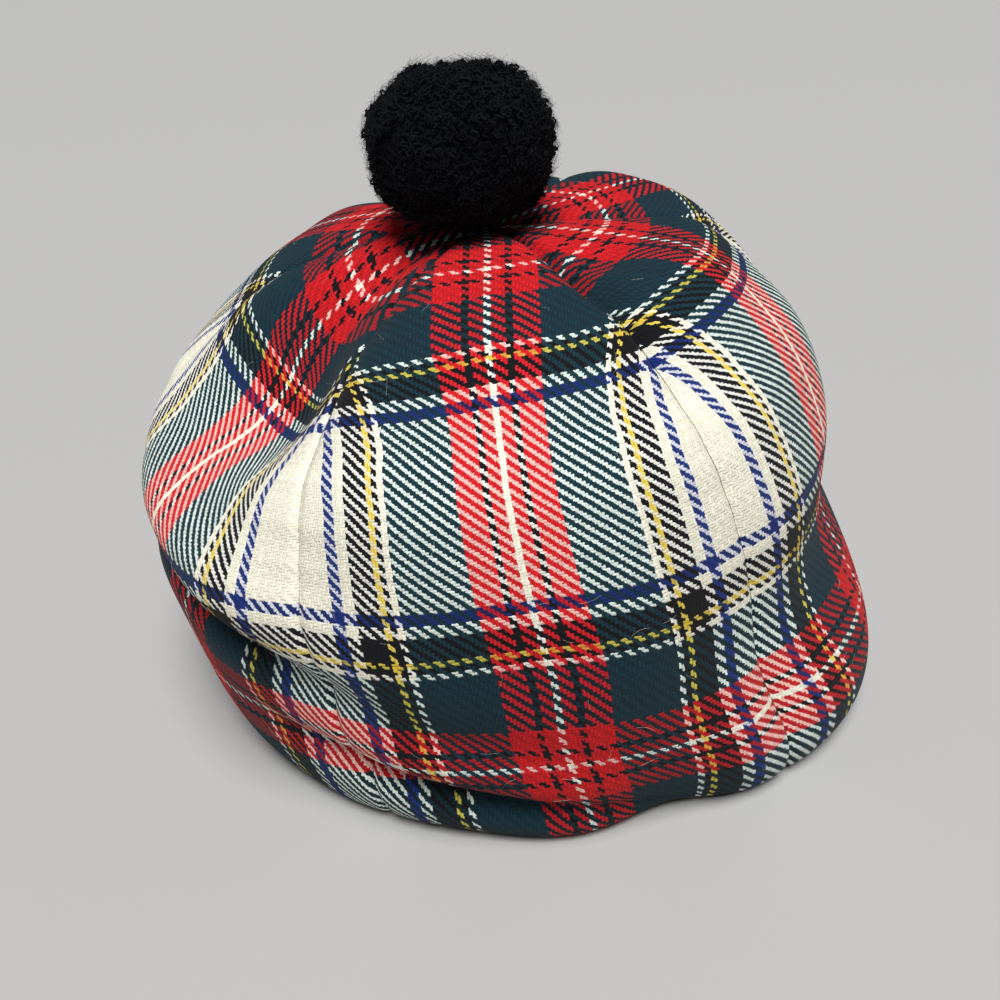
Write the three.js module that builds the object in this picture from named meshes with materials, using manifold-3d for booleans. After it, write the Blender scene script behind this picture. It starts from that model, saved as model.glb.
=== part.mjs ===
// A six-gore wool tam o' shanter with a pompom, standing on its rim.
// Millimetres, +Z up, the viewer's side at -Y, the floor at Z = 0.
import * as THREE from "three";
import { mergeVertices } from "three/addons/utils/BufferGeometryUtils.js";
import Module from "manifold-3d";

const wasm = await Module();
wasm.setup();

// Cloth
const WALL = 2.0;
const SEAM_GAP = 0.3;
const VALLEY_POWER = 2.2;

// Gores: turns are in degrees from +X, so the front is at -90. A gore runs from its left seam to the next one,
// and the slump spreads the front gore a little.
const GORES = [
  { name: "gore_front", leftSeam: -120 },
  { name: "gore_front_right", leftSeam: -58 },
  { name: "gore_back_right", leftSeam: 1 },
  { name: "gore_back", leftSeam: 60 },
  { name: "gore_back_left", leftSeam: 119 },
  { name: "gore_front_left", leftSeam: 178 },
];
const FULL_TURN = 360;
const ACROSS_STEPS = 10;
const ALONG_STEP = 7.5;
const SLOPE_STEP = 0.5;

// The crown's slump puts its middle away from the origin, which stays under the middle of the whole hat
const STAND_RIGHT = -1.7;
const STAND_BACK = -3.8;

// Sections down the gores. along: cloth from the apex. height: over the floor. wide, deep: half sizes at the
// gores' middles. right, back: where the section's middle lies. lift, rear: how much its right side and its
// back are raised. valley: how deep the seams lie below the gores' middles. twist: how far the slump has turned
// the gores there, in degrees.
const SECTIONS = [
  { along: 3, height: 132, wide: 3, deep: 3, right: -1, back: -8, lift: 0, rear: 0, valley: 0, twist: -3 },
  { along: 20, height: 133, wide: 21, deep: 21, right: -1, back: -7, lift: 0, rear: 1, valley: 1, twist: -3 },
  { along: 41, height: 131, wide: 43, deep: 44, right: -2, back: -5, lift: 2, rear: 3, valley: 2.5, twist: -3 },
  { along: 61, height: 127, wide: 61, deep: 65, right: -3, back: -4, lift: 5, rear: 5, valley: 3.5, twist: -3 },
  { along: 82, height: 117, wide: 75, deep: 83, right: -4, back: -3, lift: 6, rear: 5, valley: 3.5, twist: -2 },
  { along: 106, height: 101, wide: 90, deep: 101, right: -5, back: -1, lift: 6, rear: 3, valley: 2.5, twist: -1 },
  { along: 130, height: 79, wide: 100, deep: 110, right: -4, back: 1, lift: 4, rear: 1, valley: 2, twist: 0 },
  { along: 151, height: 58, wide: 105, deep: 114, right: -2, back: 3, lift: 2, rear: 0, valley: 2, twist: 1 },
  { along: 171, height: 38, wide: 105, deep: 115, right: 0, back: 4, lift: 0, rear: 0, valley: 2, twist: 1 },
  { along: 192, height: 18, wide: 104, deep: 113, right: 3, back: 4, lift: 0, rear: 0, valley: 2, twist: 2 },
  { along: 206, height: 4, wide: 101, deep: 109, right: 6, back: 3, lift: 0, rear: 0, valley: 1, twist: 2 },
  { along: 215, height: -1, wide: 96, deep: 102, right: 7, back: 3, lift: 0, rear: 0, valley: 0, twist: 2 },
  { along: 227, height: -1, wide: 86, deep: 91, right: 7, back: 3, lift: 0, rear: 0, valley: 0, twist: 2 },
];

// Folds and swells of the slumped cloth. turn, along: its middle. turnSpread, alongSpread: its reach.
// slant: cloth down the gore for each degree of turn. out: how far it stands out, or in where negative.
const FOLDS = [
  { name: "left shoulder hollow", turn: -149, along: 74, turnSpread: 18, alongSpread: 42, slant: 0, out: -22 },
  { name: "right shoulder swell", turn: -45, along: 66, turnSpread: 14, alongSpread: 22, slant: 0, out: 3 },
  { name: "crown dent", turn: -52, along: 40, turnSpread: 8, alongSpread: 9, slant: 0.4, out: -2.5 },
  { name: "left overhang", turn: -152, along: 129, turnSpread: 36, alongSpread: 13, slant: 0.4, out: 6 },
  { name: "left crease", turn: -148, along: 149, turnSpread: 36, alongSpread: 7, slant: 0.45, out: -10 },
  { name: "front hem crease", turn: -105, along: 193, turnSpread: 24, alongSpread: 6, slant: 0.35, out: -5 },
  { name: "right waist", turn: -18, along: 151, turnSpread: 30, alongSpread: 15, slant: -0.1, out: -7.5 },
  { name: "right hem swell", turn: -42, along: 195, turnSpread: 30, alongSpread: 21, slant: 0, out: 10.5 },
  { name: "front hem lift", turn: -75, along: 206, turnSpread: 9, alongSpread: 18, slant: 0, out: -3.5 },
  { name: "seam pucker", turn: -56, along: 183, turnSpread: 4, alongSpread: 16, slant: 0, out: -2.5 },
  { name: "back slump", turn: 104, along: 138, turnSpread: 34, alongSpread: 9, slant: -0.12, out: -3 },
];

// The left hollow also draws the cloth round towards it: out is in degrees here.
const LEFT_DRAG = { turn: -134, along: 57, turnSpread: 26, alongSpread: 36, slant: 0, out: -7 };

// Pompom: trimmed ball of wool, its locks fused to a round head
const POMPOM_WIDTH = 52;
const POMPOM_HEIGHT = 42;
const POMPOM_LEAN = -5;
const SEAT_GAP = 0.3;
const SEAT_FROM = 40;
const LOCKS = 72;
const LOCK_RADIUS = 5.2;
const LOCK_PROUD = 2.4;
const LOCK_SWAY = 0.8;
const HEAD_ROUND = 16;
const HEAD_RINGS = 10;
const GOLDEN_TURN = Math.PI * (3 - Math.sqrt(5));

const tartanWool = new THREE.MeshStandardMaterial({
  color: 0x9a6a62,
  roughness: 0.95,
  metalness: 0,
});
const pompomWool = new THREE.MeshStandardMaterial({
  color: 0x101116,
  roughness: 1,
  metalness: 0,
});

// One column of the section table at a place along the cloth, as a smooth curve through the rows.
function section(column, along) {
  const last = SECTIONS.length - 2;
  let i = 0;
  while (i < last && along > SECTIONS[i + 1].along) i += 1;
  const rows = [i - 1, i, i + 1, i + 2].map((r) => SECTIONS[THREE.MathUtils.clamp(r, 0, last + 1)]);
  const [before, from, to, after] = rows;
  const span = to.along - from.along;
  const slope = (a, b) => (b === a ? 0 : (b[column] - a[column]) / (b.along - a.along));
  const s = (along - from.along) / span;
  const leave = slope(before, to) * span;
  const arrive = slope(from, after) * span;
  const h = s * s * (3 - 2 * s);
  return (
    from[column] * (1 - h) +
    to[column] * h +
    leave * s * (1 - s) * (1 - s) -
    arrive * s * s * (1 - s)
  );
}

// The cloth before seams and folds, at a turn in degrees and a place along the gore.
function form(turn, along) {
  const angle = THREE.MathUtils.degToRad(turn);
  return new THREE.Vector3(
    STAND_RIGHT + section("right", along) + section("wide", along) * Math.cos(angle),
    STAND_BACK + section("back", along) + section("deep", along) * Math.sin(angle),
    section("height", along) +
      section("lift", along) * Math.cos(angle) +
      section("rear", along) * Math.sin(angle),
  );
}

// The way out of the cloth there.
function outward(turn, along) {
  const across = form(turn + SLOPE_STEP, along).sub(form(turn - SLOPE_STEP, along));
  const down = form(turn, along + SLOPE_STEP).sub(form(turn, along - SLOPE_STEP));
  return down.cross(across).normalize();
}

// One fold there: a bell that fades away from the fold's middle.
function bell(fold, turn, along) {
  const away = THREE.MathUtils.euclideanModulo(turn - fold.turn + FULL_TURN / 2, FULL_TURN) - FULL_TURN / 2;
  const a = away / fold.turnSpread;
  const b = (along - fold.along - fold.slant * away) / fold.alongSpread;
  return fold.out * Math.exp(-a * a - b * b);
}

// How far the folds push the cloth out there.
function foldDepth(turn, along) {
  return FOLDS.reduce((sum, fold) => sum + bell(fold, turn, along), 0);
}

// Where the slump has turned a place on a gore.
function slumpedTurn(turn, along) {
  return turn + section("twist", along) + bell(LEFT_DRAG, turn, along);
}

// Outer and inner faces of the cloth, pressed flat where it would pass the floor.
function cloth(turn, along, share) {
  const valley = section("valley", along) * Math.abs(share) ** VALLEY_POWER;
  const out = outward(turn, along);
  const outer = form(turn, along).addScaledVector(out, foldDepth(turn, along) - valley);
  const inner = outer.clone().addScaledVector(out, -WALL);
  outer.z = Math.max(outer.z, 0);
  inner.z = Math.max(inner.z, WALL);
  return { outer, inner };
}

// A closed wall from a grid of outer and inner points: both faces and the four edges.
function wallGeometry(grid) {
  const rows = grid.length;
  const columns = grid[0].length;
  const positions = [];
  for (const side of ["outer", "inner"]) {
    for (const row of grid) for (const cell of row) positions.push(...cell[side].toArray());
  }
  const outer = (r, c) => r * columns + c;
  const inner = (r, c) => rows * columns + r * columns + c;
  const index = [];
  const quad = (a, b, c, d) => index.push(a, b, c, a, c, d);
  for (let r = 0; r + 1 < rows; r += 1) {
    for (let c = 0; c + 1 < columns; c += 1) {
      quad(outer(r, c), outer(r + 1, c), outer(r + 1, c + 1), outer(r, c + 1));
      quad(inner(r, c), inner(r, c + 1), inner(r + 1, c + 1), inner(r + 1, c));
    }
    quad(outer(r + 1, 0), outer(r, 0), inner(r, 0), inner(r + 1, 0));
    const c = columns - 1;
    quad(outer(r, c), outer(r + 1, c), inner(r + 1, c), inner(r, c));
  }
  for (let c = 0; c + 1 < columns; c += 1) {
    const r = rows - 1;
    quad(outer(0, c), outer(0, c + 1), inner(0, c + 1), inner(0, c));
    quad(outer(r, c + 1), outer(r, c), inner(r, c), inner(r, c + 1));
  }
  const geometry = new THREE.BufferGeometry();
  geometry.setAttribute("position", new THREE.Float32BufferAttribute(positions, 3));
  geometry.setIndex(index);
  return geometry;
}

// One gore from the eye at the apex to the edge of the head opening.
function goreGeometry(number) {
  const left = GORES[number].leftSeam;
  const next = GORES[(number + 1) % GORES.length].leftSeam;
  const width = THREE.MathUtils.euclideanModulo(next - left, FULL_TURN);
  const start = SECTIONS[0].along;
  const end = SECTIONS[SECTIONS.length - 1].along;
  const steps = Math.round((end - start) / ALONG_STEP);
  const grid = [];
  for (let r = 0; r <= steps; r += 1) {
    const along = start + ((end - start) * r) / steps;
    const girth = THREE.MathUtils.degToRad(width) * section("wide", along);
    const reach = 1 - SEAM_GAP / girth;
    const row = [];
    for (let c = 0; c <= ACROSS_STEPS; c += 1) {
      const share = reach * ((2 * c) / ACROSS_STEPS - 1);
      row.push(cloth(slumpedTurn(left + ((share + 1) / 2) * width, along), along, share));
    }
    grid.push(row);
  }
  const geometry = wallGeometry(grid);
  geometry.computeVertexNormals();
  return geometry;
}

function solidOf(geometry) {
  const bare = geometry.clone();
  bare.deleteAttribute("normal");
  bare.deleteAttribute("uv");
  const merged = mergeVertices(bare);
  return new wasm.Manifold(
    new wasm.Mesh({
      numProp: 3,
      vertProperties: merged.attributes.position.array,
      triVerts: new Uint32Array(merged.index.array),
    }),
  );
}

function geometryOf(solid) {
  const mesh = solid.getMesh();
  const geometry = new THREE.BufferGeometry();
  geometry.setAttribute("position", new THREE.BufferAttribute(mesh.vertProperties, 3));
  geometry.setIndex(new THREE.BufferAttribute(mesh.triVerts, 1));
  geometry.computeVertexNormals();
  return geometry;
}

// The pompom about its own middle: stubby locks on a spiral round the ball, fused to its head.
function pompomGeometry() {
  const half = new THREE.Vector3(POMPOM_WIDTH / 2, POMPOM_WIDTH / 2, POMPOM_HEIGHT / 2);
  const head = new THREE.SphereGeometry(1, HEAD_ROUND, HEAD_RINGS);
  head.rotateX(Math.PI / 2);
  head.scale(half.x - LOCK_PROUD, half.y - LOCK_PROUD, half.z - LOCK_PROUD);
  let ball = solidOf(head);
  for (let i = 0; i < LOCKS; i += 1) {
    const z = 1 - (2 * i + 1) / LOCKS;
    const ring = Math.sqrt(1 - z * z);
    const way = new THREE.Vector3(ring * Math.cos(i * GOLDEN_TURN), ring * Math.sin(i * GOLDEN_TURN), z);
    const sway = LOCK_SWAY * Math.sin(i * i);
    const lock = new THREE.IcosahedronGeometry(LOCK_RADIUS, 0);
    lock.rotateZ(i);
    lock.rotateX(i / 2);
    const place = way.clone().multiply(half).addScaledVector(way, sway - LOCK_RADIUS);
    lock.translate(place.x, place.y, place.z);
    ball = ball.add(solidOf(lock));
  }
  return geometryOf(ball);
}

// The least drop, straight down or up, from one set of points to the faces they would meet.
function leastDrop(points, way, meshes) {
  const ray = new THREE.Raycaster();
  return points.reduce((least, point) => {
    ray.set(point, way);
    const hits = ray.intersectObjects(meshes);
    return hits.length > 0 ? Math.min(least, hits[0].distance) : least;
  }, Infinity);
}

function pointsOf(mesh) {
  mesh.updateMatrixWorld();
  const place = mesh.geometry.attributes.position;
  return Array.from({ length: place.count }, (_, i) =>
    new THREE.Vector3().fromBufferAttribute(place, i).applyMatrix4(mesh.matrixWorld),
  );
}

const tam = new THREE.Group();
tam.name = "tam_o_shanter";

const gores = GORES.map(({ name }, number) => {
  const gore = new THREE.Mesh(goreGeometry(number), tartanWool.clone());
  gore.name = name;
  return gore;
});
tam.add(...gores);

// The pompom leans off the apex and is let down on the crown until only a small gap is left.
const apex = SECTIONS[0];
const pompom = new THREE.Mesh(pompomGeometry(), pompomWool);
pompom.name = "pompom";
pompom.position.set(
  STAND_RIGHT + apex.right + POMPOM_LEAN,
  STAND_BACK + apex.back,
  apex.height + POMPOM_HEIGHT / 2 + SEAT_FROM,
);
const down = new THREE.Vector3(0, 0, -1);
const up = new THREE.Vector3(0, 0, 1);
const ballDrop = leastDrop(pointsOf(pompom), down, gores);
const crownDrop = leastDrop(gores.flatMap(pointsOf), up, [pompom]);
pompom.position.z -= Math.min(ballDrop, crownDrop) - SEAT_GAP;
tam.add(pompom);

export default tam;
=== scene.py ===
"""A tartan tam o' shanter: six twill wool gores, a curly wool pompom and stray wool fibres."""

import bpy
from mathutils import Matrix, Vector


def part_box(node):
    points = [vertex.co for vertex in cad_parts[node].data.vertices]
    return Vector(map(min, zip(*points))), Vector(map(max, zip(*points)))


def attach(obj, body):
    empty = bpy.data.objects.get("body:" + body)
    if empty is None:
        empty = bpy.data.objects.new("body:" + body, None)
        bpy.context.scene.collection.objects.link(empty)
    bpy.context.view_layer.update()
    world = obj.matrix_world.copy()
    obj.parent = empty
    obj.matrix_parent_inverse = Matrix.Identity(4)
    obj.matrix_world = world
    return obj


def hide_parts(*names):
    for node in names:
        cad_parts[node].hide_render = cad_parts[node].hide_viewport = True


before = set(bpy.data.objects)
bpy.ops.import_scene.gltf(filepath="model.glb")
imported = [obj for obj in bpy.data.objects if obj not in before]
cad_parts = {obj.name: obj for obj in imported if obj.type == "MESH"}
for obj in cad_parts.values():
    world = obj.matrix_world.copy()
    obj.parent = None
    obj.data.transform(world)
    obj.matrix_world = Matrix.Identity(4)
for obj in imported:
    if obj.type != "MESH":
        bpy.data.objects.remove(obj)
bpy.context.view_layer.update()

import logging
import math
from dataclasses import dataclass, field
from enum import Enum
from typing import Union

import bpy
import numpy as np
from mathutils import Matrix, Vector

log = logging.getLogger("tam")

MM = 0.001
ROOT = "root"
THREADS = "threads"
TONE = "tone"
GOLDEN_TURN = math.pi * (3 - math.sqrt(5))
STRAND_SIDES = 3
MIX_SHARE, MIX_FIRST, MIX_SECOND, MIX_RESULT = 0, 6, 7, 2

Source = Union[float, bpy.types.NodeSocket]
Points = np.ndarray
Faces = list[np.ndarray]


class Dye(Enum):
    """The dyed wools, as red, green and blue from 0 to 255."""

    CREAM = (243, 240, 226)
    RED = (218, 27, 38)
    GREEN = (16, 52, 63)
    BLUE = (30, 54, 128)
    BLACK = (12, 13, 17)
    YELLOW = (230, 204, 84)
    JET = (5, 8, 14)
    GREY = (84, 84, 90)
    SOOT = (15, 16, 22)

    @property
    def colour(self) -> tuple[float, float, float, float]:
        """The dye in linear light.

        Returns:
            Its red, green and blue from 0 to 1, with full alpha.
        """
        share = np.array(self.value) / 255
        linear = np.where(share <= 0.04045, share / 12.92, ((share + 0.055) / 1.055) ** 2.4)
        return (*(float(part) for part in linear), 1.0)


class Hold(Enum):
    """How a sheet of cloth is held."""

    GATHERED = "gathered"


@dataclass(frozen=True)
class Nap:
    """How a wool surface takes the light: its roughness, its shine and the sheen of its fibres."""

    roughness: float
    sheen: float
    tint: Dye
    shine: float = 0.2
    sheen_roughness: float = 0.45


@dataclass(frozen=True)
class Stripe:
    """One stripe of the sett: its wool and how many threads it has."""

    dye: Dye
    threads: int


@dataclass
class Shader:
    """The nodes of one material, with short ways to add and join them."""

    material: bpy.types.Material

    @classmethod
    def named(cls, name: str) -> "Shader":
        """Starts a node material with only its output and principled shader.

        Args:
            name: the material's name.

        Returns:
            Its nodes.
        """
        material = bpy.data.materials.new(name)
        material.use_nodes = True
        return cls(material)

    @property
    def principled(self) -> bpy.types.Node:
        """The principled shader that every finish feeds."""
        return self.material.node_tree.nodes["Principled BSDF"]

    def add(self, kind: str, **settings: object) -> bpy.types.Node:
        """Adds a node.

        Args:
            kind: the node's type.
            settings: properties to set on it.

        Returns:
            The new node.
        """
        node = self.material.node_tree.nodes.new(kind)
        for key, value in settings.items():
            setattr(node, key, value)
        return node

    def feed(self, socket: bpy.types.NodeSocket, value: Source) -> None:
        """Joins a value to a socket, or sets it there.

        Args:
            socket: the input to feed.
            value: a number or another node's output.
        """
        if isinstance(value, bpy.types.NodeSocket):
            self.material.node_tree.links.new(value, socket)
        else:
            socket.default_value = value

    def math(self, operation: str, *values: Source) -> bpy.types.NodeSocket:
        """One sum on numbers.

        Args:
            operation: the name of the sum.
            values: its inputs, in order.

        Returns:
            The result.
        """
        node = self.add("ShaderNodeMath", operation=operation)
        for socket, value in zip(node.inputs, values):
            self.feed(socket, value)
        return node.outputs[0]

    def mix(self, share: Source, first: Source, second: Source, way: str = "MIX") -> bpy.types.NodeSocket:
        """Mixes two colours.

        Args:
            share: how much of the second colour shows.
            first: the colour underneath.
            second: the colour on top.
            way: the kind of mixing.

        Returns:
            The mixed colour.
        """
        node = self.add("ShaderNodeMix", data_type="RGBA", blend_type=way)
        for number, value in ((MIX_SHARE, share), (MIX_FIRST, first), (MIX_SECOND, second)):
            self.feed(node.inputs[number], value)
        return node.outputs[MIX_RESULT]

    def noise(self, place: Source, scale: float, detail: float = 2.0) -> bpy.types.NodeSocket:
        """Smooth noise about one half.

        Args:
            place: the coordinates to read it at.
            scale: how many grains to a unit.
            detail: how many finer layers it has.

        Returns:
            The noise, from 0 to 1.
        """
        node = self.add("ShaderNodeTexNoise")
        self.feed(node.inputs["Vector"], place)
        self.feed(node.inputs["Scale"], scale)
        self.feed(node.inputs["Detail"], detail)
        return node.outputs["Fac"]

    def lot(self, number: Source) -> bpy.types.NodeSocket:
        """Draws a fixed random share for a number.

        Args:
            number: such as a thread's.

        Returns:
            The share, from 0 to 1.
        """
        node = self.add("ShaderNodeTexWhiteNoise", noise_dimensions="1D")
        self.feed(node.inputs["W"], number)
        return node.outputs["Value"]

    def lightness(self, colour: Source) -> bpy.types.NodeSocket:
        """Reads how light a colour is.

        Args:
            colour: the colour to read.

        Returns:
            Its lightness, from 0 to 1.
        """
        node = self.add("ShaderNodeRGBToBW")
        self.feed(node.inputs[0], colour)
        return node.outputs[0]

    def bounce_tinted(self, over: Source, under: Source, low: float, high: float) -> bpy.types.NodeSocket:
        """A colour tinted with the hue of the one under it, as painted light thrown back by the colour
        underneath.

        Args:
            over: the colour on top.
            under: the colour underneath.
            low: the share of tint that a black gives.
            high: the share that a bright colour gives.

        Returns:
            The tinted colour.
        """
        parts = self.add("ShaderNodeSeparateColor", mode="HSV")
        self.feed(parts.inputs[0], under)
        bright = self.add("ShaderNodeCombineColor", mode="HSV")
        for socket, value in zip(bright.inputs, (parts.outputs[0], parts.outputs[1], 1.0)):
            self.feed(socket, value)
        return self.mix(self.between(parts.outputs[2], low, high), over, bright.outputs[0], "MULTIPLY")

    def between(self, share: Source, low: float, high: float) -> bpy.types.NodeSocket:
        """A share from 0 to 1 stretched to run from low to high."""
        return self.math("MULTIPLY_ADD", share, high - low, low)

    def relief(self, height: Source, depth: float, strength: float) -> None:
        """Bumps the surface.

        Args:
            height: the relief, from 0 to 1.
            depth: how deep a height of 1 is, in metres.
            strength: how much of it shows.
        """
        node = self.add("ShaderNodeBump")
        self.feed(node.inputs["Strength"], strength)
        self.feed(node.inputs["Distance"], depth)
        self.feed(node.inputs["Height"], height)
        self.feed(self.principled.inputs["Normal"], node.outputs["Normal"])

    def brush(self, nap: Nap) -> None:
        """Sets the parts of a wool surface that are the same all over.

        Args:
            nap: how the wool takes the light.
        """
        inputs = self.principled.inputs
        inputs["Roughness"].default_value = nap.roughness
        inputs["Specular IOR Level"].default_value = nap.shine
        inputs["Sheen Weight"].default_value = nap.sheen
        inputs["Sheen Roughness"].default_value = nap.sheen_roughness
        inputs["Sheen Tint"].default_value = nap.tint.colour


@dataclass(frozen=True)
class TartanFinish:
    """Two-and-two twill in a sett that mirrors at its first and its last stripe.

    Threads waver and fray by shares of a thread, and light wools run finer beside dark ones. A thread takes
    a painted tint of the light thrown back by the one under it. Painted shade darkens the hollows between
    threads and the lower weft floats, most between dark threads, and fluff lies over all.
    """

    name: str = "tartan_wool"
    stripes: tuple[Stripe, ...] = (
        Stripe(Dye.CREAM, 1),
        Stripe(Dye.RED, 4),
        Stripe(Dye.BLACK, 2),
        Stripe(Dye.RED, 8),
        Stripe(Dye.GREEN, 22),
        Stripe(Dye.CREAM, 2),
        Stripe(Dye.BLACK, 2),
        Stripe(Dye.YELLOW, 2),
        Stripe(Dye.BLACK, 8),
        Stripe(Dye.CREAM, 4),
        Stripe(Dye.BLUE, 4),
        Stripe(Dye.CREAM, 32),
    )
    twill: int = 4
    slant: float = 0.7
    finer: float = 0.45
    # painted light: how strongly light thrown back by the thread underneath tints a thread
    bounce_tint_low: float = 0.2
    bounce_tint_high: float = 0.5
    # painted shade: the light left on the lower weft floats, and in the hollows between dark and between pale
    # threads
    weft_top_light: float = 0.45
    hollow_light_dark_wool: float = 0.4
    hollow_light_pale_wool: float = 0.92
    fray: float = 0.6
    fray_grain: float = 1.5
    waver: float = 0.5
    waver_grain: float = 0.11
    fibre_low: float = 0.6
    fibre_high: float = 1.4
    fibre_grain: float = 1.9
    fibre_rise: float = 0.8
    fine_detail: float = 3.0
    thread_depth: float = 0.28 * MM
    thread_relief: float = 0.5
    dye_low: float = 0.9
    dye_high: float = 1.08
    fluff: Dye = Dye.GREY
    fluff_share: float = 0.025
    fluff_grain: float = 0.8
    fluff_detail: float = 4.0
    nap: Nap = Nap(0.92, 0.04, Dye.CREAM)

    @property
    def turn_at(self) -> int:
        """How many threads there are from the first stripe's middle to the last one's."""
        return sum(stripe.threads for stripe in self.stripes)

    def dyed(self, shader: Shader, number: Source) -> bpy.types.NodeSocket:
        """The wool of one thread.

        Args:
            shader: the material's nodes.
            number: the thread's number from the first stripe's middle.

        Returns:
            Its colour, a little lighter or darker from thread to thread.
        """
        middle = shader.math("ADD", number, 0.5)
        place = shader.math("PINGPONG", middle, self.turn_at)
        ramp = shader.add("ShaderNodeValToRGB")
        ramp.color_ramp.interpolation = "CONSTANT"
        stops = ramp.color_ramp.elements
        stops.remove(stops[1])
        at = 0
        for stripe in self.stripes:
            stop = stops[0] if at == 0 else stops.new(at / self.turn_at)
            stop.color = stripe.dye.colour
            at += stripe.threads
        shader.feed(ramp.inputs[0], shader.math("DIVIDE", place, self.turn_at))
        value = shader.between(shader.lot(number), self.dye_low, self.dye_high)
        return shader.mix(1.0, ramp.outputs[0], value, "MULTIPLY")

    def material(self) -> bpy.types.Material:
        """Weaves the cloth: warp and weft threads on the thread map, one over the other in twill steps.

        Returns:
            The material.
        """
        shader = Shader.named(self.name)
        chart = shader.add("ShaderNodeUVMap", uv_map=THREADS).outputs[0]
        wander = shader.between(shader.noise(chart, self.waver_grain), -self.waver, self.waver)
        fray = shader.noise(chart, self.fray_grain, self.fine_detail)
        fray = shader.between(fray, -self.fray, self.fray)
        parts = shader.add("ShaderNodeSeparateXYZ")
        shader.feed(parts.inputs[0], chart)
        across = shader.math("ADD", shader.math("ADD", parts.outputs[0], wander), fray)
        down = shader.math("SUBTRACT", shader.math("ADD", parts.outputs[1], wander), fray)
        warp = shader.math("FLOOR", across)
        weft = shader.math("FLOOR", down)
        ends = shader.math("SUBTRACT", shader.math("FRACT", across), shader.math("FRACT", down))
        step = shader.math("MULTIPLY_ADD", ends, self.slant, shader.math("SUBTRACT", warp, weft))
        step = shader.math("FLOORED_MODULO", shader.math("ADD", step, 0.5), float(self.twill))
        warp_wool, weft_wool = self.dyed(shader, warp), self.dyed(shader, weft)
        lighter = shader.math("SUBTRACT", shader.lightness(weft_wool), shader.lightness(warp_wool))
        float_ends = shader.math("MULTIPLY_ADD", lighter, self.finer, self.twill / 2)
        warp_over = shader.math("LESS_THAN", step, float_ends)
        over = shader.mix(warp_over, weft_wool, warp_wool)
        under = shader.mix(warp_over, warp_wool, weft_wool)
        # painted light: each thread tinted by light thrown back from the thread under it
        woven = shader.bounce_tinted(over, under, self.bounce_tint_low, self.bounce_tint_high)
        fibre = shader.noise(chart, self.fibre_grain, self.fine_detail)
        round_top = self.round_top(shader, across, down, warp_over)
        # painted shade in the hollows between threads and on the weft floats, deepest between dark threads;
        # the fibre noise is random tone
        depth = shader.between(shader.lightness(over), 1 - self.hollow_light_dark_wool, 1 - self.hollow_light_pale_wool)
        rise = shader.math("MULTIPLY", round_top, shader.between(warp_over, self.weft_top_light, 1.0))
        hollow_shade_loss = shader.math("MULTIPLY", depth, shader.between(rise, 1.0, 0.0))
        painted_hollow_shade = shader.math("SUBTRACT", 1.0, hollow_shade_loss)
        fibre_tone_and_hollow_shade = shader.math("MULTIPLY", shader.between(fibre, self.fibre_low, self.fibre_high), painted_hollow_shade)
        woven = shader.mix(1.0, woven, fibre_tone_and_hollow_shade, "MULTIPLY")
        fluff = shader.noise(chart, self.fluff_grain, self.fluff_detail)
        fluff = shader.math("MULTIPLY", fluff, 2 * self.fluff_share)
        woven = shader.mix(fluff, woven, self.fluff.colour)
        shader.feed(shader.principled.inputs["Base Color"], woven)
        shader.brush(self.nap)
        height = shader.math("MULTIPLY_ADD", fibre, self.fibre_rise, round_top)
        shader.relief(height, self.thread_depth, self.thread_relief)
        return shader.material

    def round_top(
        self, shader: Shader, across: Source, down: Source, warp_over: Source
    ) -> bpy.types.NodeSocket:
        """The round tops of the threads that lie over.

        Args:
            shader: the material's nodes.
            across: the thread map across the gore.
            down: the thread map down the gore.
            warp_over: 1 where the warp lies over.

        Returns:
            The height, 1 - (2 x - 1) squared over a thread's width x.
        """
        tops = []
        for place in (down, across):
            side = shader.between(shader.math("FRACT", place), -1.0, 1.0)
            tops.append(shader.math("SUBTRACT", 1.0, shader.math("MULTIPLY", side, side)))
        lift = shader.math("SUBTRACT", tops[1], tops[0])
        return shader.math("MULTIPLY_ADD", lift, warp_over, tops[0])


@dataclass(frozen=True)
class FleeceFinish:
    """Near-black curly wool, each curl a little different."""

    name: str = "pompom_wool"
    dark: Dye = Dye.JET
    curl_low: float = 0.45
    curl_high: float = 1.5
    grain: float = 1400.0
    grain_detail: float = 3.0
    grain_low: float = 0.4
    grain_high: float = 1.6
    grain_depth: float = 0.25 * MM
    grain_relief: float = 0.6
    nap: Nap = Nap(1.0, 0.02, Dye.GREY)

    def material(self) -> bpy.types.Material:
        """Dyes the curls by their own tone and a fine grain.

        Returns:
            The material.
        """
        shader = Shader.named(self.name)
        tone = shader.add("ShaderNodeAttribute", attribute_name=TONE).outputs["Fac"]
        place = shader.add("ShaderNodeTexCoord").outputs["Object"]
        grain = shader.noise(place, self.grain, self.grain_detail)
        value = shader.between(tone, self.curl_low, self.curl_high)
        value = shader.math("MULTIPLY", value, shader.between(grain, self.grain_low, self.grain_high))
        shader.feed(
            shader.principled.inputs["Base Color"],
            shader.mix(1.0, self.dark.colour, value, "MULTIPLY"),
        )
        shader.brush(self.nap)
        shader.relief(grain, self.grain_depth, self.grain_relief)
        return shader.material


@dataclass(frozen=True)
class FibreFinish:
    """Loose fibres of one wool."""

    name: str
    dye: Dye
    grain: float = 300.0
    grain_low: float = 0.5
    grain_high: float = 1.4
    roughness: float = 0.8
    sheen: float = 0.1

    def material(self) -> bpy.types.Material:
        """Dyes the fibres, lighter and darker from place to place.

        Returns:
            The material.
        """
        shader = Shader.named(self.name)
        place = shader.add("ShaderNodeTexCoord").outputs["Object"]
        value = shader.between(shader.noise(place, self.grain), self.grain_low, self.grain_high)
        shader.feed(
            shader.principled.inputs["Base Color"],
            shader.mix(1.0, self.dye.colour, value, "MULTIPLY"),
        )
        shader.brush(Nap(self.roughness, self.sheen, self.dye))
        return shader.material


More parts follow.
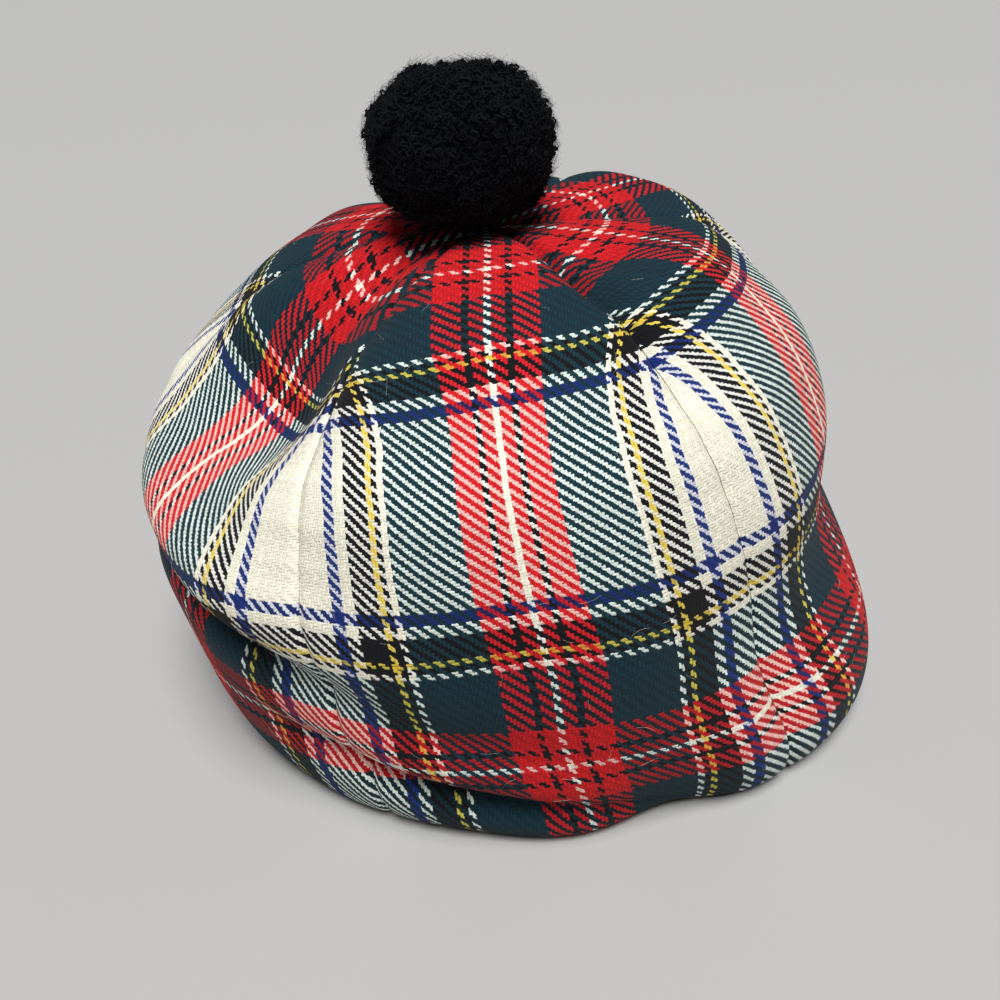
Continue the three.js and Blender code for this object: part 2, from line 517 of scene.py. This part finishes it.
def piece_of(name: str, points: Points, faces: Faces, material: bpy.types.Material) -> bpy.types.Object:
    """Puts points and faces into a new smooth piece that rides on the hat.

    Args:
        name: the piece's name.
        points: its points, in metres.
        faces: arrays of point numbers, one array for each number of corners.
        material: its finish.

    Returns:
        The piece.
    """
    mesh = bpy.data.meshes.new(name)
    mesh.vertices.add(len(points))
    mesh.vertices.foreach_set("co", points.astype(np.float32).ravel())
    corners = np.concatenate([rows.ravel() for rows in faces]).astype(np.int32)
    counts = np.concatenate([np.full(len(rows), rows.shape[1]) for rows in faces])
    starts = np.concatenate([[0], np.cumsum(counts)[:-1]]).astype(np.int32)
    mesh.loops.add(len(corners))
    mesh.loops.foreach_set("vertex_index", corners)
    mesh.polygons.add(len(starts))
    mesh.polygons.foreach_set("loop_start", starts)
    mesh.polygons.foreach_set("use_smooth", np.ones(len(starts), dtype=bool))
    mesh.update(calc_edges=True)
    mesh.validate()
    mesh.materials.append(material)
    piece = bpy.data.objects.new(name, mesh)
    bpy.context.scene.collection.objects.link(piece)
    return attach(piece, ROOT)


def unit(vectors: Points) -> Points:
    """The vectors at a length of one."""
    return vectors / np.linalg.norm(vectors, axis=-1, keepdims=True)


def strands(paths: Points, radius: Points, facing: Points) -> tuple[Points, Faces]:
    """Closed strands: a small ring of points round each place on a path, joined from ring to ring.

    Args:
        paths: strands by places by 3, in millimetres.
        radius: strands by places, in millimetres.
        facing: strands by 3, a way that no path runs along.

    Returns:
        The points and the faces, with both ends shut.
    """
    count, places, _ = paths.shape
    sides = STRAND_SIDES
    run = unit(np.gradient(paths, axis=1))
    beside = unit(np.cross(run, facing[:, None, :]))
    above = np.cross(beside, run)
    angle = np.arange(sides) * 2 * np.pi / sides
    ring = np.cos(angle)[:, None] * beside[:, :, None, :] + np.sin(angle)[:, None] * above[:, :, None, :]
    points = paths[:, :, None, :] + radius[:, :, None, None] * ring
    number = np.arange(count * places * sides).reshape(count, places, sides)
    after = np.roll(number, -1, axis=2)
    walls = np.stack([number[:, :-1], number[:, 1:], after[:, 1:], after[:, :-1]], axis=-1)
    ends = np.concatenate([number[:, 0, :], number[:, -1, ::-1]])
    return points.reshape(-1, 3), [walls.reshape(-1, 4), ends]


@dataclass(frozen=True)
class Section:
    """A level of the crown, in millimetres, with its twist in degrees.

    It lies so far along the cloth, at a height, as an ellipse of half sizes wide and deep that is shifted to
    the right and the back. The ellipse is tipped by its lift on the right and at the rear, and the seams lie
    in valleys.
    """

    along: float
    height: float
    wide: float
    deep: float
    right: float
    back: float
    lift: float
    rear: float
    valley: float
    twist: float


@dataclass(frozen=True)
class Fold:
    """A fold or swell: its middle, its reach, its slant in millimetres to a degree, and how far it is out."""

    name: str
    turn: float
    along: float
    turn_spread: float
    along_spread: float
    slant: float
    out: float


@dataclass(frozen=True)
class Wave:
    """A slow wave of the cloth: how often it goes round the head, its length along a gore and its start."""

    rounds: float
    length: float
    start: float


@dataclass(frozen=True)
class Lump:
    """A wave through the pompom: the way it runs, longer for closer waves, and its start."""

    run: tuple[float, float, float]
    start: float

    def at(self, way: Points) -> Points:
        """The wave's height, from -1 to 1, at places on a ball."""
        return np.sin(way @ np.array(self.run) + self.start)


@dataclass(frozen=True)
class Cut:
    """Half the width of a gore at a place down it, both in threads from the middle of a red stripe."""

    down: float
    half: float


@dataclass
class CrownForm:
    """The slumped cloth as a surface of two parameters: the turn round the head and the way along.

    Lengths are in millimetres and turns in degrees. Fine folds, seam rolls, ripples and puckers are too small
    for the solids, and slips move the pattern on the cloth.
    """

    stand: tuple[float, float] = (-1.7, -3.8)
    wall: float = 2.0
    seam_gap: float = 0.3
    valley_power: float = 2.2
    slope_step: float = 0.5
    sections: tuple[Section, ...] = (
        Section(3, 132, 3, 3, -1, -8, 0, 0, 0, -3),
        Section(20, 133, 21, 21, -1, -7, 0, 1, 1, -3),
        Section(41, 131, 43, 44, -2, -5, 2, 3, 2.5, -3),
        Section(61, 127, 61, 65, -3, -4, 5, 5, 3.5, -3),
        Section(82, 117, 75, 83, -4, -3, 6, 5, 3.5, -2),
        Section(106, 101, 90, 101, -5, -1, 6, 3, 2.5, -1),
        Section(130, 79, 100, 110, -4, 1, 4, 1, 2, 0),
        Section(151, 58, 105, 114, -2, 3, 2, 0, 2, 1),
        Section(171, 38, 105, 115, 0, 4, 0, 0, 2, 1),
        Section(192, 18, 104, 113, 3, 4, 0, 0, 2, 2),
        Section(206, 4, 101, 109, 6, 3, 0, 0, 1, 2),
        Section(215, -1, 96, 102, 7, 3, 0, 0, 0, 2),
        Section(227, -1, 86, 91, 7, 3, 0, 0, 0, 2),
    )
    folds: tuple[Fold, ...] = (
        Fold("left shoulder hollow", -149, 74, 18, 42, 0, -22),
        Fold("right shoulder swell", -45, 66, 14, 22, 0, 3),
        Fold("crown dent", -52, 40, 8, 9, 0.4, -2.5),
        Fold("left overhang", -152, 129, 36, 13, 0.4, 6),
        Fold("left crease", -148, 149, 36, 7, 0.45, -10),
        Fold("front hem crease", -105, 193, 24, 6, 0.35, -5),
        Fold("right waist", -18, 151, 30, 15, -0.1, -7.5),
        Fold("right hem swell", -42, 195, 30, 21, 0, 10.5),
        Fold("front hem lift", -75, 206, 9, 18, 0, -3.5),
        Fold("seam pucker", -56, 183, 4, 16, 0, -2.5),
        Fold("back slump", 104, 138, 34, 9, -0.12, -3),
    )
    left_drag: Fold = Fold("left drag, in degrees", -134, 57, 26, 36, 0, -7)
    fine_folds: tuple[Fold, ...] = (
        Fold("left tuck", -159, 143, 22, 2.8, 0.45, -5),
        Fold("left crease let out", -122, 161, 12, 6, 0.45, 3),
        Fold("crown seam tuck", -61, 42, 4.5, 22, 0, -4),
        Fold("hem tuck", -105, 192, 22, 3, 0.35, -2),
    )
    slips: tuple[Fold, ...] = (
        Fold("front cloth drawn up", -90, 150, 16, 45, 0, -4.5),
        Fold("left cloth let down", -148, 70, 36, 50, 0, 7),
    )
    seam_roll: float = 0.9
    seam_roll_reach: float = 1.3
    ripple: float = 0.35
    ripple_waves: tuple[Wave, ...] = (Wave(5, 17, 0), Wave(8, -11, 1.3), Wave(13, 23, 0.6))
    pucker: float = 0.14
    pucker_reach: float = 9.0
    pucker_length: float = 2.6
    pucker_drift: float = 3.0
    pucker_drift_length: float = 19.0
    pucker_swing: float = 4.0
    pucker_swing_rounds: float = 2.0
    smooth_top: float = 70.0

    def column(self, name: str, along: Points) -> Points:
        """A smooth cubic through one column of the sections, its slopes taken from the neighbouring rows.

        Args:
            name: the column.
            along: places along the cloth.

        Returns:
            The column's value at each place.
        """
        at = np.array([row.along for row in self.sections], dtype=float)
        value = np.array([getattr(row, name) for row in self.sections], dtype=float)
        ahead = np.append(np.arange(1, len(at)), len(at) - 1)
        behind = np.insert(np.arange(len(at) - 1), 0, 0)
        slope = (value[ahead] - value[behind]) / (at[ahead] - at[behind])
        row = np.clip(np.searchsorted(at, along) - 1, 0, len(at) - 2)
        span = at[row + 1] - at[row]
        s = (along - at[row]) / span
        h = s * s * (3 - 2 * s)
        bend = slope[row] * s * (1 - s) ** 2 - slope[row + 1] * s * s * (1 - s)
        return value[row] * (1 - h) + value[row + 1] * h + bend * span

    def level(self, turn: Points, along: Points) -> Points:
        """The plain form: an ellipse at each level, shifted and tipped.

        Args:
            turn: degrees round from +X.
            along: millimetres from the apex.

        Returns:
            Points in millimetres.
        """
        angle = np.radians(turn)
        cos, sin = np.cos(angle), np.sin(angle)
        x = self.stand[0] + self.column("right", along) + self.column("wide", along) * cos
        y = self.stand[1] + self.column("back", along) + self.column("deep", along) * sin
        tip = self.column("lift", along) * cos, self.column("rear", along) * sin
        z = self.column("height", along) + tip[0] + tip[1]
        return np.stack([x, y, z], axis=-1)

    def outward(self, turn: Points, along: Points) -> Points:
        """The way out of the plain form: its slope down the gore crossed with its slope round the head.

        Args:
            turn: degrees round from +X.
            along: millimetres from the apex.

        Returns:
            Unit vectors.
        """
        step = self.slope_step
        across = self.level(turn + step, along) - self.level(turn - step, along)
        down = self.level(turn, along + step) - self.level(turn, along - step)
        return unit(np.cross(down, across))

    def fold_depth(self, folds: tuple[Fold, ...], turn: Points, along: Points) -> Points:
        """The sum of the folds, each a bell in turn and along: out times exp(-a a - b b).

        Args:
            folds: the folds to add.
            turn: degrees round from +X.
            along: millimetres from the apex.

        Returns:
            Millimetres outward.
        """
        depth = np.zeros_like(turn)
        for fold in folds:
            away = (turn - fold.turn + 180) % 360 - 180
            a = away / fold.turn_spread
            b = (along - fold.along - fold.slant * away) / fold.along_spread
            depth += fold.out * np.exp(-a * a - b * b)
        return depth

    def slumped_turn(self, turn: Points, along: Points) -> Points:
        """Where the slump has turned a place on a gore, in degrees."""
        return turn + self.column("twist", along) + self.fold_depth((self.left_drag,), turn, along)

    def ripples(self, turn: Points, along: Points, edge: Points) -> Points:
        """Small unevenness: slow waves all over, and puckers that fade away from the seams.

        Args:
            turn: degrees round from +X.
            along: millimetres from the apex.
            edge: millimetres to the nearer seam.

        Returns:
            Millimetres outward, smaller towards the apex.
        """
        angle = np.radians(turn)
        slow = sum(
            np.sin(wave.rounds * angle + along / wave.length + wave.start)
            for wave in self.ripple_waves
        )
        drift = self.pucker_drift * np.sin(along / self.pucker_drift_length)
        swing = self.pucker_swing * np.sin(self.pucker_swing_rounds * angle)
        quick = np.sin(along / self.pucker_length + drift + swing)
        near = np.exp(-((edge / self.pucker_reach) ** 2))
        fade = np.clip(along / self.smooth_top, 0, 1)
        return fade * (self.ripple * slow + self.pucker * quick * near)

    def cloth(self, turn: Points, along: Points, share: Points, edge: Points) -> tuple[Points, Points]:
        """Both faces of the cloth: the plain form moved out by folds and ripples, and in at the seams.

        Args:
            turn: degrees round from +X, before the slump.
            along: millimetres from the apex.
            share: from -1 at a gore's left seam to 1 at its right one.
            edge: millimetres to the nearer seam.

        Returns:
            The outer and the inner face in millimetres, pressed flat on the floor.
        """
        turn = self.slumped_turn(turn, along)
        out = self.outward(turn, along)
        depth = self.fold_depth(self.folds + self.fine_folds, turn, along)
        depth -= self.column("valley", along) * np.abs(share) ** self.valley_power
        depth += self.ripples(turn, along, edge)
        depth -= self.seam_roll * np.exp(-((edge / self.seam_roll_reach) ** 2))
        outer = self.level(turn, along) + out * depth[..., None]
        inner = outer - out * self.wall
        outer[..., 2] = np.maximum(outer[..., 2], 0)
        inner[..., 2] = np.maximum(inner[..., 2], self.wall)
        return outer, inner


@dataclass(frozen=True)
class Panel:
    """A gore's name, where its left seam lies in degrees, and how full its cloth is across."""

    name: str
    seam: float
    fullness: float = 1.0


@dataclass
class Gore:
    """One panel of the crown, cut from tartan with its red stripe down the middle, in millimetres."""

    name: str
    left: float
    width: float
    fullness: float
    form: CrownForm
    rows: int = 190
    columns: int = 97
    edge_crowding: float = 0.45
    crease_angle: float = 60.0
    apex_thread: float = -40.0
    weft_pitch: float = 0.815
    warp_pitch: float = 0.81
    cuts: tuple[Cut, ...] = (
        Cut(-40, 0),
        Cut(-15, 13),
        Cut(10, 28),
        Cut(38, 43),
        Cut(57, 58),
        Cut(70, 65),
        Cut(90, 70),
        Cut(125, 71),
        Cut(240, 71),
    )

    def threads_down(self, along: Points) -> Points:
        """The weft thread at a place along the gore."""
        return along / self.weft_pitch + self.apex_thread

    def half_width(self, along: Points) -> Points:
        """Half the gore's cut width there, in threads."""
        rows = sorted((cut.down, cut.half) for cut in self.cuts)
        return np.interp(self.threads_down(along), *zip(*rows))

    def levels(self) -> Points:
        """The grid's rows: even steps along the gore from the apex to the hem's edge."""
        return np.linspace(self.form.sections[0].along, self.form.sections[-1].along, self.rows)

    def places(self) -> tuple[Points, Points, Points, Points]:
        """The grid's parameters, its columns closer together at the seams.

        Returns:
            The turn, the way along, the share across and the distance to the nearer seam.
        """
        s = np.linspace(-1, 1, self.columns)
        crowd = self.edge_crowding
        crowded = s * (1 + crowd) - crowd * s**3
        along, share = np.meshgrid(self.levels(), crowded, indexing="ij")
        girth = np.radians(self.width) * self.form.column("wide", along)
        share = share * (1 - self.form.seam_gap / girth)
        turn = self.left + (share + 1) / 2 * self.width
        edge = (1 - np.abs(share)) * girth / 2
        return turn, along, share, edge

    def faces(self) -> Faces:
        """Joins the two grids of points into a closed wall.

        Returns:
            Its faces: outer, inner, and the four edges between them.
        """
        size = self.rows * self.columns
        outer = np.arange(size).reshape(self.rows, self.columns)
        inner = outer + size

        def quads(a: Points, b: Points, c: Points, d: Points) -> Points:
            """Four rows of corners as faces."""
            return np.stack([a.ravel(), b.ravel(), c.ravel(), d.ravel()], axis=1)

        return [
            quads(outer[:-1, :-1], outer[1:, :-1], outer[1:, 1:], outer[:-1, 1:]),
            quads(inner[:-1, :-1], inner[:-1, 1:], inner[1:, 1:], inner[1:, :-1]),
            quads(outer[1:, 0], outer[:-1, 0], inner[:-1, 0], inner[1:, 0]),
            quads(outer[:-1, -1], outer[1:, -1], inner[1:, -1], inner[:-1, -1]),
            quads(outer[0, :-1], outer[0, 1:], inner[0, 1:], inner[0, :-1]),
            quads(outer[-1, 1:], outer[-1, :-1], inner[-1, :-1], inner[-1, 1:]),
        ]

    def build(self, material: bpy.types.Material) -> bpy.types.Object:
        """Args:
            material: the tartan.

        Returns:
            The finished piece.
        """
        turn, along, share, edge = self.places()
        outer, inner = self.form.cloth(turn, along, share, edge)
        points = np.concatenate([outer.reshape(-1, 3), inner.reshape(-1, 3)]) * MM
        piece = piece_of(f"{self.name}_cloth", points, self.faces(), material)
        slip = self.form.fold_depth(self.form.slips, turn, along)
        warp = share * self.half_width(along) * self.fullness
        chart = np.stack([warp, self.threads_down(along - slip)], axis=-1).reshape(-1, 2)
        self.map_threads(piece.data, np.concatenate([chart, chart]))
        piece.data.set_sharp_from_angle(angle=math.radians(self.crease_angle))
        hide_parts(self.name)
        return piece

    def map_threads(self, mesh: bpy.types.Mesh, chart: Points) -> None:
        """Keeps the thread numbers as the cloth's own map.

        Args:
            mesh: the panel's mesh.
            chart: warp and weft thread of each point.
        """
        corners = np.empty(len(mesh.loops), dtype=np.int32)
        mesh.loops.foreach_get("vertex_index", corners)
        layer = mesh.uv_layers.new(name=THREADS)
        layer.data.foreach_set("uv", chart[corners].astype(np.float32).ravel())


@dataclass
class Pompom:
    """A trimmed ball of curly wool, in millimetres, sized by its solid: a core with curls and a fuzz."""

    seed: int = 5
    core_rounds: int = 72
    core_rings: int = 36
    core_inset: float = 2.5
    squareness: float = 2.4
    lump: float = 0.9
    lump_waves: tuple[Lump, Lump] = (Lump((7, 3, 5), 0), Lump((-4, 8, 3), 1))
    tuft: float = 1.0
    tuft_waves: tuple[Lump, Lump] = (Lump((26, 9, -17), 0), Lump((-8, 24, 19), 2))
    curls: int = 4250
    curl_places: int = 8
    curl_jitter: float = 0.02
    curl_root: float = 0.2
    curl_rise: float = 2.1
    curl_radius: tuple[float, float] = (0.6, 1.3)
    curl_turns: tuple[float, float] = (0.8, 1.4)
    curl_tip: tuple[float, float] = (0.1, 1.0)
    curl_squash: float = 0.5
    curl_skew: float = 0.3
    yarn: float = 0.36
    yarn_ends: float = 0.75
    yarn_spread: tuple[float, float] = (0.8, 1.2)
    hairs: int = 13500
    hair_places: int = 3
    hair_jitter: float = 0.05
    hair_root: float = 1.0
    hair_length: tuple[float, float] = (1.2, 3.4)
    hair_lean: tuple[float, float] = (0.6, 1.6)
    hair_droop: float = 0.4
    hair_radius: float = 0.05
    hair_taper: float = 0.6
    middle: Points = field(init=False)
    half: Points = field(init=False)

    def __post_init__(self) -> None:
        """Takes the ball's place and size from its solid."""
        low, high = (np.array(corner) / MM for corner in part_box("pompom"))
        self.middle = (low + high) / 2
        self.half = (high - low) / 2

    def ball(self, way: Points, inset: float) -> Points:
        """The ball's skin: a squarish ellipsoid less an inset, hollowed by slow waves and quick ones.

        Args:
            way: unit vectors from the middle.
            inset: how far under the skin, in millimetres.

        Returns:
            Points in millimetres.
        """
        slow = self.lump_waves[0].at(way) + self.lump_waves[1].at(way)
        quick = self.tuft_waves[0].at(way) * self.tuft_waves[1].at(way)
        reach = self.half - inset + (self.lump * (slow / 2 - 0.5) + self.tuft * (quick - 0.5))[..., None]
        girth = np.hypot(way[..., 0], way[..., 1]) ** self.squareness
        square = (girth + np.abs(way[..., 2]) ** self.squareness) ** (-1 / self.squareness)
        return self.middle + way * reach * square[..., None]

    def spiral(self, count: int, chance: np.random.Generator, jitter: float) -> Points:
        """Ways out spread evenly over a ball on a golden spiral, then shaken.

        Args:
            count: how many.
            chance: the seeded numbers.
            jitter: how far they are shaken, as a share of the ball's radius.

        Returns:
            Unit vectors.
        """
        number = np.arange(count)
        z = 1 - (2 * number + 1) / count
        ring = np.sqrt(1 - z * z)
        turn = number * GOLDEN_TURN
        way = np.stack([ring * np.cos(turn), ring * np.sin(turn), z], axis=1)
        return unit(way + chance.normal(0, jitter, (count, 3)))

    def axes(self, way: Points, chance: np.random.Generator) -> tuple[Points, Points]:
        """Two ways along the skin, square to the way out and to each other, turned at random.

        Args:
            way: the ways out.
            chance: the seeded numbers.

        Returns:
            Two sets of unit vectors.
        """
        first = unit(np.cross(way, chance.normal(0, 1, way.shape)))
        return first, np.cross(way, first)

    def core(self) -> tuple[Points, Faces]:
        """The core: rings of the ball's skin closed at both poles.

        Returns:
            The points and the faces.
        """
        tilt = np.linspace(0, np.pi, self.core_rings + 1)[1:-1]
        turn = np.arange(self.core_rounds) * 2 * np.pi / self.core_rounds
        tilt, turn = np.meshgrid(tilt, turn, indexing="ij")
        way = np.stack([np.sin(tilt) * np.cos(turn), np.sin(tilt) * np.sin(turn), np.cos(tilt)], axis=-1)
        poles = np.array([[0.0, 0.0, 1.0], [0.0, 0.0, -1.0]])
        points = self.ball(np.concatenate([way.reshape(-1, 3), poles]), self.core_inset)
        number = np.arange(tilt.size).reshape(tilt.shape)
        after = np.roll(number, -1, axis=1)
        walls = np.stack([number[:-1], number[1:], after[1:], after[:-1]], axis=-1).reshape(-1, 4)
        top = np.stack([np.full(self.core_rounds, tilt.size), number[0], after[0]], axis=1)
        bottom = np.stack([np.full(self.core_rounds, tilt.size + 1), after[-1], number[-1]], axis=1)
        return points, [walls, np.concatenate([top, bottom])]

    def curl_strands(self, chance: np.random.Generator) -> tuple[Points, Faces]:
        """The curls: each a short turn of yarn that rises out of the core, rolls over and goes back in.

        Args:
            chance: the seeded numbers.

        Returns:
            The points and the faces.
        """
        way = self.spiral(self.curls, chance, self.curl_jitter)
        first, second = self.axes(way, chance)
        s = np.linspace(0, 1, self.curl_places)[None, :]
        radius = chance.uniform(*self.curl_radius, (self.curls, 1))
        turns = chance.uniform(*self.curl_turns, (self.curls, 1))
        tip = chance.uniform(*self.curl_tip, (self.curls, 1))
        angle = turns * 2 * np.pi * s
        arch = np.sin(np.pi * s)
        rise = self.curl_rise * arch + tip * radius * np.sin(angle)
        base = self.ball(way, self.core_inset + self.curl_root)
        path = (
            base[:, None, :]
            + first[:, None, :] * (radius * np.cos(angle))[..., None]
            + second[:, None, :] * (radius * np.sin(angle) * (1 - self.curl_squash * tip))[..., None]
            + way[:, None, :] * rise[..., None]
        )
        swell = self.yarn * (self.yarn_ends + (1 - self.yarn_ends) * arch)
        girth = swell * chance.uniform(*self.yarn_spread, (self.curls, 1))
        return strands(path, girth, way + self.curl_skew * first)

    def build(self, material: bpy.types.Material) -> bpy.types.Object:
        """Builds the core and its curls as one piece, each curl with its own tone.

        Args:
            material: the wool.

        Returns:
            The finished piece.
        """
        chance = np.random.default_rng(self.seed)
        points, faces = self.core()
        curl_points, curl_faces = self.curl_strands(chance)
        faces = faces + [rows + len(points) for rows in curl_faces]
        tone = np.concatenate([
            np.zeros(len(points)),
            np.repeat(chance.uniform(0, 1, self.curls), self.curl_places * STRAND_SIDES),
        ])
        piece = piece_of("pompom_curls", np.concatenate([points, curl_points]) * MM, faces, material)
        layer = piece.data.attributes.new(TONE, "FLOAT", "POINT")
        layer.data.foreach_set("value", tone.astype(np.float32))
        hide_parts("pompom")
        return piece

    def build_fuzz(self, material: bpy.types.Material) -> bpy.types.Object:
        """Builds the fine hairs that stand out of the curls, each bent to one side.

        Args:
            material: the hairs' finish.

        Returns:
            The finished piece.
        """
        chance = np.random.default_rng(self.seed + 1)
        way = self.spiral(self.hairs, chance, self.hair_jitter)
        first, _ = self.axes(way, chance)
        s = np.linspace(0, 1, self.hair_places)[None, :, None]
        length = chance.uniform(*self.hair_length, (self.hairs, 1, 1))
        lean = chance.uniform(*self.hair_lean, (self.hairs, 1, 1))
        base = self.ball(way, self.hair_root)[:, None, :]
        rise = way[:, None, :] * (s - self.hair_droop * lean * s * s)
        path = base + length * (rise + first[:, None, :] * lean * s * s)
        radius = self.hair_radius * (1 - self.hair_taper * s[..., 0]) * np.ones((self.hairs, 1))
        points, faces = strands(path, radius, np.cross(way, first))
        piece = piece_of("pompom_fuzz", points * MM, faces, material)
        return piece


@dataclass
class StrayFibres:
    """Loose fibres lying on the brushed cloth, in millimetres."""

    gores: list[Gore]
    form: CrownForm
    seed: int = 11
    count: int = 260
    places: int = 6
    reach: tuple[float, float] = (25.0, 200.0)
    widest_share: float = 0.9
    length: tuple[float, float] = (2.0, 6.0)
    bend: tuple[float, float] = (-0.8, 0.8)
    lift: tuple[float, float] = (0.1, 0.9)
    clearance: float = 0.15
    radius: float = 0.014

    def build(self, material: bpy.types.Material) -> bpy.types.Object:
        """Lays fibres on the gores, each an arc in the cloth's plane with its middle a little raised.

        Args:
            material: the fibres' finish.

        Returns:
            The finished piece.
        """
        chance = np.random.default_rng(self.seed)
        pick = chance.integers(0, len(self.gores), self.count)
        left = np.array([gore.left for gore in self.gores])[pick]
        width = np.array([gore.width for gore in self.gores])[pick]
        first, last = self.reach
        along = first + (last - first) * np.sqrt(chance.uniform(0, 1, self.count))
        share = chance.uniform(-self.widest_share, self.widest_share, self.count)
        turn = left + (share + 1) / 2 * width
        edge = (1 - np.abs(share)) * np.radians(width) * self.form.column("wide", along) / 2
        skin, _ = self.form.cloth(turn, along, share, edge)
        out = self.form.outward(self.form.slumped_turn(turn, along), along)
        run = unit(np.cross(out, chance.normal(0, 1, out.shape)))
        beside = np.cross(out, run)
        s = np.linspace(-0.5, 0.5, self.places)[None, :, None]
        length = chance.uniform(*self.length, (self.count, 1, 1))
        bend = chance.uniform(*self.bend, (self.count, 1, 1))
        lift = chance.uniform(*self.lift, (self.count, 1, 1))
        path = (
            skin[:, None, :]
            + run[:, None, :] * length * s
            + beside[:, None, :] * length * bend * s * s
            + out[:, None, :] * (self.clearance + lift * (0.25 - s * s))
        )
        radius = np.full((self.count, self.places), self.radius)
        points, faces = strands(path, radius, out)
        piece = piece_of("stray_fibres", points * MM, faces, material)
        return piece


@dataclass
class Studio:
    """The floor, the soft lights and the camera, in millimetres and degrees.

    The floor's size and the camera's nearest view are in metres.
    """

    target: tuple[float, float, float] = (-3.0, -3.8, 40.8)
    distance: float = 314.5
    pitch: float = 30.0
    azimuth: float = -3.16
    roll: float = -3.8
    lens: float = 34.56
    nearest: float = 0.01
    floor_size: float = 60.0
    floor_drop: float = 0.4
    floor_colour: tuple[float, float, float, float] = (0.41, 0.405, 0.395, 1)
    floor_roughness: float = 0.7
    window_from: tuple[float, float, float] = (0.02, -0.37, 0.93)
    window_power: float = 4.3
    window_spread: float = 30.0
    sky_colour: tuple[float, float, float, float] = (0.9, 0.95, 1.0, 1)
    sky_power: float = 0.11

    def floor(self) -> None:
        """A plain pale floor just under the rim."""
        shader = Shader.named("studio_floor")
        shader.principled.inputs["Base Color"].default_value = self.floor_colour
        shader.principled.inputs["Roughness"].default_value = self.floor_roughness
        half = self.floor_size / 2
        corners = np.array([[-half, -half], [half, -half], [half, half], [-half, half]])
        points = np.column_stack([corners, np.full(4, -self.floor_drop * MM)])
        floor = piece_of("studio_floor", points, [np.array([[0, 1, 2, 3]])], shader.material)

    def lights(self) -> None:
        """A broad soft light from high in front, and an even sky."""
        data = bpy.data.lights.new("window", "SUN")
        data.energy = self.window_power
        data.angle = math.radians(self.window_spread)
        window = bpy.data.objects.new("window", data)
        window.rotation_mode = "QUATERNION"
        window.rotation_quaternion = Vector(self.window_from).to_track_quat("Z", "Y")
        bpy.context.scene.collection.objects.link(window)
        world = bpy.data.worlds.new("studio_sky")
        world.use_nodes = True
        sky = world.node_tree.nodes["Background"]
        sky.inputs["Color"].default_value = self.sky_colour
        sky.inputs["Strength"].default_value = self.sky_power
        bpy.context.scene.world = world
        bpy.context.scene.view_settings.view_transform = "Standard"

    def camera(self) -> None:
        """The viewer: a hand's reach in front, looking down, held a little off level."""
        azimuth, pitch, roll = (math.radians(angle) for angle in (self.azimuth, self.pitch, self.roll))
        ahead = Vector((
            -math.sin(azimuth) * math.cos(pitch),
            math.cos(azimuth) * math.cos(pitch),
            -math.sin(pitch),
        ))
        right = Vector((math.cos(azimuth), math.sin(azimuth), 0))
        up = right.cross(ahead)
        side = math.cos(roll) * right + math.sin(roll) * up
        top = -math.sin(roll) * right + math.cos(roll) * up
        data = bpy.data.cameras.new("viewer")
        data.lens = self.lens
        data.clip_start = self.nearest
        camera = bpy.data.objects.new("viewer", data)
        turn = Matrix((side, top, -ahead)).transposed().to_4x4()
        camera.matrix_world = Matrix.Translation((Vector(self.target) - self.distance * ahead) * MM) @ turn
        bpy.context.scene.collection.objects.link(camera)
        bpy.context.scene.camera = camera

    def build(self) -> None:
        """Sets the whole stage."""
        self.floor()
        self.lights()
        self.camera()


def cut_gores(form: CrownForm) -> list[Gore]:
    """The six gores, each from its left seam to the next.

    Args:
        form: the crown they make.

    Returns:
        The gores, from the front round to the left.
    """
    panels = (
        Panel("gore_front", -120),
        Panel("gore_front_right", -58),
        Panel("gore_back_right", 1),
        Panel("gore_back", 60),
        Panel("gore_back_left", 119),
        Panel("gore_front_left", 178, fullness=1.08),
    )
    nexts = panels[1:] + panels[:1]
    return [
        Gore(panel.name, panel.seam, (after.seam - panel.seam) % 360, panel.fullness, form)
        for panel, after in zip(panels, nexts)
    ]


def main() -> None:
    """Builds the hat piece by piece, then the stage, and logs how many faces each piece has."""
    logging.basicConfig(level=logging.INFO, format="%(name)s: %(message)s")
    form = CrownForm()
    gores = cut_gores(form)
    tartan = TartanFinish().material()
    pieces = [gore.build(tartan) for gore in gores]
    pompom = Pompom()
    pieces.append(pompom.build(FleeceFinish().material()))
    pieces.append(pompom.build_fuzz(FibreFinish("pompom_hair", Dye.SOOT).material()))
    pieces.append(StrayFibres(gores, form).build(FibreFinish("cream_fibre", Dye.CREAM).material()))
    for piece in pieces:
        log.info("%s has %d faces", piece.name, len(piece.data.polygons))
    Studio().build()


if __name__ == "__main__":
    main()
